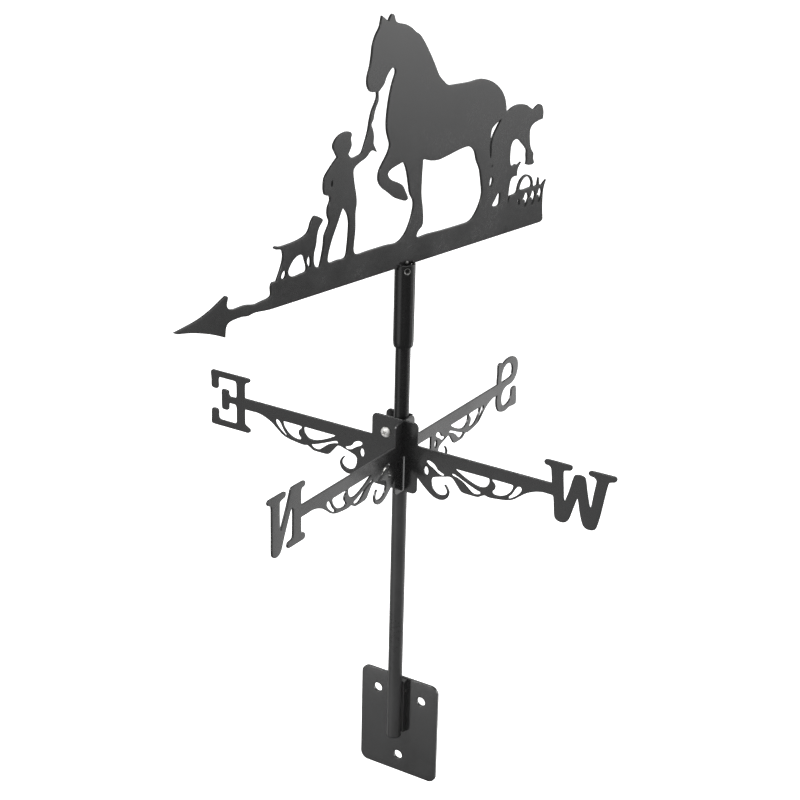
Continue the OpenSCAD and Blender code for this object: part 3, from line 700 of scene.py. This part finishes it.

# light metal ring round the set screw's hole: painted highlight, standing in for light on the countersink
# all round
bare = [(HOLE_R, r_out - 1.0 * mm), (2.75 * mm, r_out - .42 * mm), (2.75 * mm, r_out - .55 * mm),
        (HOLE_R, r_out - 1.15 * mm)]
new_object("screw_hole_painted_highlight_ring", *lathe(bare, hole_at, grub_way, 64), spatter_and_highlight_metal, "vane", "weld_coat",
           sharp=30)

# set screw with a hexagon socket, its rim chamfered
grub_r, g0, g1 = 1.95 * mm, r_in - 2.35 * mm, r_in - .5 * mm
prof = [(0, g0), (grub_r - .35 * mm, g0), (grub_r, g0 + .35 * mm), (grub_r, g1 - .3 * mm),
        (grub_r - .3 * mm, g1), (0, g1)]
grub = loose("cup_grub_screw", *lathe(prof, hole_at, grub_way, 64, closed=False))
cut_socket(grub, 1.15 * mm, 0, hole_at + grub_way * (g1 - 2 * mm), grub_way, 4 * mm)
bevelled(grub, 0.06 * mm, 2, 50)
# the set screw's dark colour is painted shade of the hole it sits in
finish_mesh(grub, hole_shade_socket_steel, "vane", ("cup_set_screw",), sharp=40)

LUMP = 0.10                 # unevenness of a weld, as a share of its radius
LUMP_SCALE = 700            # lumps per metre along a weld
LUMP_STEP = 0.35            # lumps from one point round a weld to the next
RIPPLE_LEAN = 0.18          # how far a ripple's crest leans round a weld, as a share of the pitch
RIPPLE_MEAN = 0.6           # about the mean of a ripple's height, so that ripples keep the radius


def rippled(name, path, radii, mat, body, slot, stands_for, seed, seg, ripple, pitch):
    """weld metal along a path: ripples of height ripple (share of the radius) every pitch millimetres,
    uneven width, closed ends. seed moves the unevenness, seg is the number of points round it"""
    verts, faces, n = [], [], len(path)
    run = 0.0
    for i, p in enumerate(path):
        d = (path[min(i + 1, n - 1)] - path[max(i - 1, 0)]).normalized()
        side = d.orthogonal().normalized() if abs(d.z) > 0.9 else d.cross(Z).normalized()
        up = side.cross(d).normalized()
        if i:
            run += (p - path[i - 1]).length
        for j in range(seg):
            t = 2 * math.pi * j / seg
            ripples = run / (pitch * mm) + RIPPLE_LEAN * math.cos(t)
            wave = abs(math.sin(math.pi * ripples)) - RIPPLE_MEAN
            lump = noise.noise(Vector((p.x * LUMP_SCALE + seed, p.z * LUMP_SCALE, j * LUMP_STEP)))
            r = radii[i] * (1 + ripple * wave + LUMP * lump)
            verts.append(p + (side * math.cos(t) + up * math.sin(t)) * r)
    for i in range(n - 1):
        for j in range(seg):
            k = (j + 1) % seg
            faces.append((i * seg + j, i * seg + k, (i + 1) * seg + k, (i + 1) * seg + j))
    for i in (0, n - 1):
        c = len(verts)
        verts.append(path[i])
        for j in range(seg):
            k = (j + 1) % seg
            faces.append((i * seg + j, i * seg + k, c) if i else (i * seg + k, i * seg + j, c))
    new_object(name, verts, faces, mat, body, slot, stands_for, sharp=80, weighted=False)


def tapered(n, r):
    """radii of a bead that is full along most of its run and drops at both ends"""
    return [r * max(0.12, math.sin(math.pi * (i + 0.35) / (n - 0.3)) ** 0.45) for i in range(n)]


# tack welds between the sheet and the sleeve's rim, at both ends and on both faces
corners = (("rim_weld_ac", -1, -1), ("rim_weld_ad", -1, 1), ("rim_weld_bc", 1, -1), ("rim_weld_bd", 1, 1))
for i, (name, s, f) in enumerate(corners):
    c = (AXIS + VU * (s * (r_out - .8 * mm)) + VN * (f * (VANE_T / 2 + .28) * mm)
         + Z * (rim + .12 * mm))
    path = [c + VU * (s * t * mm) for t in np.linspace(-.95, .72, 13)]
    rippled(name, path, tapered(13, 0.78 * mm), weld_coat, "vane", "weld_coat", first(i, "vane_welds"),
            seed=3.1 * s + f, seg=18, ripple=.12, pitch=.5)

# one bare tack on the sheet's face over the middle of the sleeve's mouth, on the set screw's side
face_way = VN if VN.dot(grub_way) > 0 else -VN
c = AXIS + face_way * ((VANE_T / 2 + .8) * mm) + Z * (rim + .9 * mm)
path = [c + VU * (t * mm) + Z * (.25 * t * mm) for t in np.linspace(-1.25, 1.25, 21)]
rippled("rim_tack_bare", path, tapered(21, 1.45 * mm), spatter_and_highlight_metal, "vane", "weld_coat", (),
        seed=5.5, seg=20, ripple=.14, pitch=.7)


# ---------------------------------------------------------------- the mast
def tube_piece(name, node, mat, slot, chamfer=0.35):
    lo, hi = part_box(node)
    r = radius_of(node)
    bore = r - TUBE_WALL
    z0, z1, c = lo.z, hi.z, chamfer * mm
    inner = c * .6
    prof = [(bore + inner, z0), (r - c, z0), (r - .3 * c, z0 + .3 * c), (r, z0 + c)]
    prof += wall(r, z0 + c, z1 - c, 24)
    prof += [(r - .3 * c, z1 - .3 * c), (r - c, z1), (bore + inner, z1), (bore, z1 - inner)]
    prof += wall(bore, z1 - inner, z0 + inner, 24)
    v, f = lathe(prof, AXIS)
    new_object(name, v, f, mat, "mast", slot, (node,), sharp=40)


tube_piece("lower_mast_tube", "mast_lower", mast_coat, "mast_coat")
tube_piece("upper_mast_tube", "mast_upper", upper_coat, "mast_coat")

# plug in the mast's lower end: thin domed flange, ribbed stem
lo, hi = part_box("mast_foot_plug")
r = MAST_R
stem = r - TUBE_WALL
RIB_PITCH = 2.4 * mm
prof = [(0, lo.z + .05 * mm), (r * .45, lo.z + .02 * mm), (r * .8, lo.z), (r - .45 * mm, lo.z + .05 * mm),
        (r - .12 * mm, lo.z + .3 * mm), (r, lo.z + .8 * mm), (r - .02 * mm, lo.z + 1.45 * mm),
        (stem + .2 * mm, lo.z + 1.5 * mm)]
z = lo.z + 1.6 * mm
while z < hi.z - 2 * mm:
    prof += [(stem - .35 * mm, z), (stem - .02 * mm, z + .5 * mm), (stem - .02 * mm, z + .9 * mm),
             (stem - .35 * mm, z + 1.2 * mm)]
    z += RIB_PITCH
prof += [(stem - .4 * mm, hi.z - .6 * mm), (stem - 1.0 * mm, hi.z), (0, hi.z)]
v, f = lathe(prof, AXIS, Z, 72, closed=False)
new_object("foot_plug", v, f, plug_plastic, "mast", "plug_plastic", ("mast_foot_plug",), sharp=50)

# ---------------------------------------------------------------- compass plates and clamp
ew_lo, ew_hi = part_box("east_west_plate")
ns_lo, ns_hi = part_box("north_south_plate")
ew_t, ns_t = (ew_hi - ew_lo).y / mm, (ns_hi - ns_lo).x / mm
for name, node, n, thick in (("east_west_sheet", "east_west_plate", -Y, ew_t),
                             ("north_south_sheet", "north_south_plate", X, ns_t),
                             ("clamp_sheet", "rear_clamp_plate", Y, ew_t)):
    plate(name, node, n, thick, compass_coat, "mast", "compass_coat", r=0.4)


def node_parts(node):
    """(lowest, highest) corner of each separate solid of a node, from low to high"""
    bm = bmesh.new()
    bm.from_mesh(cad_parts[node].data)
    bmesh.ops.remove_doubles(bm, verts=bm.verts, dist=1e-6)
    left, out = set(bm.verts), []
    while left:
        stack, seen = [left.pop()], set()
        while stack:
            v = stack.pop()
            seen.add(v)
            for e in v.link_edges:
                w = e.other_vert(v)
                if w in left:
                    left.discard(w)
                    stack.append(w)
        co = [v.co for v in seen]
        out.append((Vector((min(c.x for c in co), min(c.y for c in co), min(c.z for c in co))),
                    Vector((max(c.x for c in co), max(c.y for c in co), max(c.z for c in co)))))
    bm.free()
    return sorted(out, key=lambda p: p[0].z)


# pan-head screws with a cross recess and a threaded shank, washers and nuts
DOME = ((.3, .985), (.5, .94), (.68, .84), (.82, .68), (.92, .48), (.98, .28), (1, .12), (.985, .02),
        (.95, 0))           # a pan head's outline: shares of its radius and height
RECESS_DEPTH = 2.0 * mm
RECESS_TOP, RECESS_FOOT = (2.35 * mm, .56 * mm), (1.1 * mm, .30 * mm)   # half length and half width
SCREW_R, PITCH, THREAD_DEPTH = 2.45 * mm, 0.9 * mm, 0.42 * mm
NUT_R = 4.62 * mm           # from a nut's middle to its corners


def cross_head(name, face, height, radius, turn, stands_for):
    """pan head that stands on face towards -Y, its cross recess turned by so many degrees"""
    prof = [(0, height)] + [(radius * x, height * y) for x, y in DOME] + [(0, 0)]
    head = loose(name, *lathe(prof, face, -Y, 96, closed=False))
    b, c, a = basis(-Y)
    cuts = []
    for q in (0, 1):
        t = math.radians(turn) + q * math.pi / 2
        along = b * math.cos(t) + c * math.sin(t)
        aside = a.cross(along)
        ends = []
        for (ln, wd), k in ((RECESS_FOOT, height - RECESS_DEPTH), (RECESS_TOP, height + .4 * mm)):
            for dl, dw in ((-1, -1), (1, -1), (1, 1), (-1, 1)):
                ends.append(face + along * (dl * ln) + aside * (dw * wd) + a * k)
        cuts.append(loose(f"cutter_{q}", ends, [(3, 2, 1, 0), (4, 5, 6, 7), (0, 1, 5, 4), (1, 2, 6, 5),
                                                (2, 3, 7, 6), (3, 0, 4, 7)]))
    combine(head, cuts)
    bevelled(head, 0.09 * mm, 2, 42)
    finish_mesh(head, zinc_plate, "mast", stands_for, sharp=45)


def thread(r, length, pitch, depth, seg=40, per=8):
    """verts and faces of a rod with a helical thread, along +Z from the origin. The thread fades out
    at both ends; per is the number of rings in a turn"""
    fade_run, groove, fade_drop = 0.8 * pitch, 0.95 * depth, 0.9 * depth
    n = max(4, int(length / pitch * per))
    verts, faces = [Vector((0, 0, 0))], []
    for i in range(n + 1):
        z = length * i / n
        fade = min(1.0, z / fade_run, (length - z) / fade_run)
        for j in range(seg):
            t = 2 * math.pi * j / seg
            ph = (z / pitch - j / seg) % 1.0
            tri = 1 - abs(2 * ph - 1)
            rr = r - (1 - tri) * groove - (1 - fade) * fade_drop
            verts.append(Vector((rr * math.cos(t), rr * math.sin(t), z)))
    verts.append(Vector((0, 0, length)))
    for i in range(n):
        for j in range(seg):
            k = (j + 1) % seg
            a = 1 + i * seg
            faces.append((a + j, a + k, a + seg + k, a + seg + j))
    for j in range(seg):
        k = (j + 1) % seg
        faces.append((0, 1 + k, 1 + j))
        faces.append((len(verts) - 1, 1 + n * seg + j, 1 + n * seg + k))
    return verts, faces


def washer(name, at, r, thick, stands_for):
    """washer whose punched edge is rounded more on the far side"""
    prof = [(2.65 * mm, .1 * mm), (2.75 * mm, 0), (r - .12 * mm, 0), (r - .02 * mm, .1 * mm), (r, .3 * mm),
            (r - .03 * mm, thick - .25 * mm), (r - .28 * mm, thick - .02 * mm), (r - .6 * mm, thick),
            (2.9 * mm, thick), (2.7 * mm, thick - .15 * mm)]
    v, f = lathe(prof, at, Y, 72)
    new_object(name, v, f, zinc_plate, "mast", "zinc", stands_for, 50)


def hex_nut(name, at, thick, turn, stands_for):
    """hexagon with turned chamfers on both faces and a countersunk thread"""
    b, c, a = basis(Y)
    o = loose(name, *prism(hexagon(NUT_R, turn), at, b, c, a, thick))
    flat, corner = NUT_R * math.cos(math.radians(30)) - .1 * mm, NUT_R + .05 * mm
    below, above = -1 * mm, thick + 1 * mm
    shape = [(0, below), (flat, below), (flat, 0), (corner, .55 * mm), (corner, thick - .55 * mm),
             (flat, thick), (flat, above), (0, above)]
    combine(o, [loose("cutter", *lathe(shape, at, Y, 96, closed=False))], "INTERSECT")
    mouth, bore = 2.9 * mm, 2.47 * mm
    shape = [(0, below), (mouth, below), (mouth, 0), (bore, .45 * mm), (bore, thick - .45 * mm),
             (mouth, thick), (mouth, above), (0, above)]
    combine(o, [loose("cutter", *lathe(shape, at, Y, 64, closed=False))])
    bevelled(o, 0.07 * mm, 2, 25)
    finish_mesh(o, zinc_plate, "mast", stands_for, sharp=40)


clamps = zip(node_parts("clamp_screws"), node_parts("clamp_washers"), node_parts("clamp_nuts"))
for i, ((s_lo, s_hi), (w_lo, w_hi), (n_lo, n_hi)) in enumerate(clamps):
    x, z = (s_lo.x + s_hi.x) / 2, (s_lo.z + s_hi.z) / 2
    face = Vector((x, ew_lo.y, z))
    cross_head(f"clamp_screw_head_{i + 1}", face, ew_lo.y - s_lo.y, (s_hi.x - s_lo.x) / 2, 28 + 47 * i,
               first(i, "clamp_screws"))
    v, f = thread(SCREW_R, s_hi.y - ew_lo.y, PITCH, THREAD_DEPTH)
    b, c, a = basis(Y)
    v = [face + b * p.x + c * p.y + a * p.z for p in v]
    new_object(f"clamp_screw_shank_{i + 1}", v, f, zinc_plate, "mast", "zinc", (), 60, False)
    washer(f"clamp_washer_{i + 1}", Vector((x, w_lo.y, z)), (w_hi.x - w_lo.x) / 2, w_hi.y - w_lo.y,
           first(i, "clamp_washers"))
    hex_nut(f"clamp_nut_{i + 1}", Vector((x, n_lo.y, z)), n_hi.y - n_lo.y, 10 + 23 * i,
            first(i, "clamp_nuts"))

# ---------------------------------------------------------------- base
base_lo, base_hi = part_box("base_plate")
plate("wall_plate", "base_plate", -Y, (base_hi.y - base_lo.y) / mm, base_coat, "mast", "base_coat",
      r=0.35, step=8.0, sink=(2.6, 2.2, 4.75))

# saddle block: groove for the mast along its length, rounded corners, screw holes
lo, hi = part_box("mast_saddle")
groove_r = MAST_R + .05 * mm
drop = lo.y - AXIS.y
reach = math.sqrt(max(groove_r ** 2 - drop ** 2, 0))
a0, a1 = math.degrees(math.atan2(drop, -reach)), math.degrees(math.atan2(drop, reach))
prof = [(lo.x, hi.y), (lo.x, lo.y)]
for i in range(25):
    t = math.radians(a0 + (a1 - a0) * i / 24)
    prof.append((AXIS.x + groove_r * math.cos(t), AXIS.y + groove_r * math.sin(t)))
prof += [(hi.x, lo.y), (hi.x, hi.y)]
saddle = loose("saddle_block", *prism(prof, Vector((0, 0, lo.z)), X, Y, Z, hi.z - lo.z))
screw_mid = mid("saddle_set_screw")
shape = [(0, 3 * mm), (1.5 * mm, 3 * mm), (1.5 * mm, hi.x - .25 * mm), (1.85 * mm, hi.x + .1 * mm),
         (1.85 * mm, hi.x + 2 * mm), (0, hi.x + 2 * mm)]
side_at = Vector((0, screw_mid.y, screw_mid.z))
combine(saddle, [loose("cutter", *lathe(shape, side_at, X, 48, closed=False))])
back_screws = node_parts("saddle_screws")
holes = []
for i, (a, b) in enumerate(back_screws):
    c = Vector(((a.x + b.x) / 2, 0, (a.z + b.z) / 2))
    y0, y1, hole_r = AXIS.y + 5 * mm, base_hi.y + 1 * mm, 2.53 * mm
    shape = [(0, y0), (hole_r, y0), (hole_r, y1), (0, y1)]
    holes.append(loose(f"cutter_{i}", *lathe(shape, c, Y, 48, closed=False)))
combine(saddle, holes)
bevelled(saddle, 0.3 * mm, 3, 32)
finish_mesh(saddle, saddle_coat, "mast", ("mast_saddle",), sharp=36)

# countersunk socket screws that hold the saddle, their heads in the back of the wall plate
for i, (a, b) in enumerate(back_screws):
    c = Vector(((a.x + b.x) / 2, base_hi.y, (a.z + b.z) / 2))
    r, ln = (b.x - a.x) / 2, b.y - a.y
    prof = [(0, .02 * mm), (r - .25 * mm, .02 * mm), (r, .2 * mm), (2.55 * mm, 2.2 * mm),
            (2.42 * mm, 2.5 * mm), (2.42 * mm, ln - .4 * mm), (2.0 * mm, ln), (0, ln)]
    o = loose(f"saddle_screw_{i + 1}", *lathe(prof, c, -Y, 72, closed=False))
    cut_socket(o, 1.7 * mm, 12 + 20 * i, c + Y * 1 * mm, -Y, 2.8 * mm)
    bevelled(o, 0.07 * mm, 2, 40)
    finish_mesh(o, black_steel, "mast", first(i, "saddle_screws"), sharp=42)

# set screw in the saddle's side
lo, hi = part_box("saddle_set_screw")
prof = [(0, lo.x), (1.15 * mm, lo.x), (1.45 * mm, lo.x + .3 * mm), (1.45 * mm, hi.x - .25 * mm),
        (1.2 * mm, hi.x), (0, hi.x)]
o = loose("saddle_grub_screw", *lathe(prof, side_at, X, 56, closed=False))
cut_socket(o, .87 * mm, 8, side_at + X * (hi.x - 1.6 * mm), X, 3 * mm)
bevelled(o, 0.05 * mm, 2, 45)
finish_mesh(o, black_steel, "mast", ("saddle_set_screw",), sharp=42)

# weld runs down both sides of the mast where it lies in the saddle
RUN_POINTS, RUN_END = 150, .3 * mm
for i, (a, b) in enumerate(sorted(node_parts("mast_welds"), key=lambda p: p[0].x)):
    s = -1 if (a.x + b.x) < 0 else 1
    c = Vector((AXIS.x + s * (MAST_R + .25 * mm), AXIS.y + 1.75 * mm, 0))
    z0, z1 = a.z + RUN_END, b.z - RUN_END
    path = [c + Z * (z0 + (z1 - z0) * k / (RUN_POINTS - 1)) for k in range(RUN_POINTS)]
    rippled(f"mast_weld_{i + 1}", path, tapered(RUN_POINTS, 0.7 * mm), saddle_coat, "mast", "weld_coat",
            first(i, "mast_welds"), seed=11.0 * s, seg=16, ripple=.10, pitch=1.35)

# ---------------------------------------------------------------- CAD nodes that stay as they are
for node, mat in (("pivot_cup", nylon), ("upper_bush", nylon), ("lower_bush", nylon),
                  ("mast_coupler", bright_steel), ("pivot_pin", bright_steel)):
    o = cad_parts[node]
    o.data.materials.clear()
    o.data.materials.append(mat)

# ---------------------------------------------------------------- stage, camera, light
scene = bpy.context.scene
FLOOR_Z, FLOOR_SIZE = -0.62, 60.0
FLOOR_CELLS = 24            # from the middle to an edge
FLOOR_GROWTH = 2.2          # over 1: the cells are narrower near the middle


def studio_floor():
    """a flat pale floor, finer in the middle"""
    n = FLOOR_CELLS
    co = [math.copysign(abs(i / n) ** FLOOR_GROWTH, i) * FLOOR_SIZE for i in range(-n, n + 1)]
    w = len(co)
    faces = [(j * w + i, j * w + i + 1, (j + 1) * w + i + 1, (j + 1) * w + i)
             for j in range(w - 1) for i in range(w - 1)]
    o = mesh_object("studio_floor", [(x, y, FLOOR_Z) for y in co for x in co], faces)
    k = Nodes("floor_paint")
    pale = k.mix(k.ramp(k.noise(0.004, detail=3, rough=0.5), 0.3, 0.7), tone(0.93), tone(0.96))
    k.link(pale, k.bsdf.inputs["Base Color"])
    matt = k.ramp(k.noise(0.01, detail=3, rough=0.5), 0.3, 0.7, 0.75, 0.85)
    k.link(matt, k.bsdf.inputs["Roughness"])
    k.bsdf.inputs["Specular IOR Level"].default_value = 0.2
    k.bsdf.inputs["Emission Color"].default_value = (1, 1, 1, 1)
    k.bsdf.inputs["Emission Strength"].default_value = 0.85
    o.data.materials.append(k.m)
    return o


floor = studio_floor()
floor.visible_glossy = False

# the camera looks from the north-west and above; azimuth is from +Y towards +X
CAM_AT = (0.8239, -1.3374, 0.9466)
AZ, PITCH, ROLL = (math.radians(a) for a in (-31.905, 22.369, -1.387))
cam = bpy.data.objects.new("camera", bpy.data.cameras.new("camera"))
scene.collection.objects.link(cam)
scene.camera = cam
cam.data.sensor_width = 36
cam.data.lens = 86.12
cam.data.clip_start, cam.data.clip_end = 0.05, 200      # the far edge of the floor is inside
cam.data.dof.use_dof = False
fwd = Vector((math.sin(AZ) * math.cos(PITCH), math.cos(AZ) * math.cos(PITCH), -math.sin(PITCH)))
right = Vector((math.cos(AZ), -math.sin(AZ), 0))
down = fwd.cross(right)
cam_x = right * math.cos(ROLL) + down * math.sin(ROLL)
cam_down = right * -math.sin(ROLL) + down * math.cos(ROLL)
turn = Matrix((cam_x, -cam_down, -fwd)).transposed().to_4x4()
cam.matrix_world = Matrix.Translation(CAM_AT) @ turn

world = bpy.data.worlds.new("studio")
scene.world = world
world.use_nodes = True
tree = world.node_tree
tree.nodes.clear()


def world_node(kind, values=()):
    """a node of the world's shader. values are (input's place, number)"""
    n = tree.nodes.new(kind)
    for i, v in values:
        n.inputs[i].default_value = v
    return n


def lobe(az, el, tight, gain):
    """a soft bright patch of the studio: azimuth from +Y towards +X, elevation and half width in
    degrees, brightness at its middle"""
    a, e = math.radians(az), math.radians(el)
    dot = world_node("ShaderNodeVectorMath")
    dot.operation = "DOT_PRODUCT"
    tree.links.new(coords.outputs["Generated"], dot.inputs[0])
    dot.inputs[1].default_value = (math.sin(a) * math.cos(e), math.cos(a) * math.cos(e), math.sin(e))
    edge = math.cos(math.radians(tight))
    r = world_node("ShaderNodeMapRange", ((1, edge), (2, 1.0), (3, 0.0), (4, gain)))
    r.interpolation_type = "SMOOTHSTEP"
    tree.links.new(dot.outputs["Value"], r.inputs[0])
    return r.outputs[0]


coords = world_node("ShaderNodeTexCoord")
WORLD_BASE = 0.18           # brightness of the studio away from the patches
LOBES = [(26, -24, 18, 1.85), (55, 10.5, 31, 4.4), (-152, -12, 26, 0.8), (-149, -28, 5, 1.1),
         (-168, -22, 14, 0.6), (-68, -34, 26, 0.7), (-32, 45, 60, 0.4), (150, 25, 50, 0.5),
         (-20, 10, 40, 0.5), (66, -26, 14, 0.6)]
total = None
for spec in LOBES:
    add = world_node("ShaderNodeMath", ((1, WORLD_BASE),))
    add.operation = "ADD"
    tree.links.new(lobe(*spec), add.inputs[0])
    if total is not None:
        tree.links.new(total, add.inputs[1])
    total = add.outputs[0]
# the camera itself sees plain white behind the object
path_info = world_node("ShaderNodeLightPath")
pick = world_node("ShaderNodeMix", ((3, 1.0),))
pick.data_type = "FLOAT"
tree.links.new(path_info.outputs["Is Camera Ray"], pick.inputs[0])
tree.links.new(total, pick.inputs[2])
bg = world_node("ShaderNodeBackground", ((0, (1, 1, 1, 1)),))
tree.links.new(pick.outputs[0], bg.inputs[1])
tree.links.new(bg.outputs[0], world_node("ShaderNodeOutputWorld").inputs[0])


def softbox(name, where, to, size, power):
    l = bpy.data.lights.new(name, "AREA")
    l.shape = "RECTANGLE"
    l.size, l.size_y = size
    l.energy = power
    o = bpy.data.objects.new(name, l)
    scene.collection.objects.link(o)
    o.location = where
    o.rotation_mode = "QUATERNION"
    o.rotation_quaternion = (Vector(to) - Vector(where)).to_track_quat("-Z", "Y")


centre = (cad_lo + cad_hi) / 2
softbox("softbox_top", (0.4, -0.6, 3.2), centre, (3.0, 3.0), 90)
softbox("softbox_left", (-1.3, -2.2, 1.7), centre, (1.0, 1.0), 60)
scene.view_settings.view_transform = "Standard"
scene.view_settings.look = "None"
scene.view_settings.exposure = 0.0
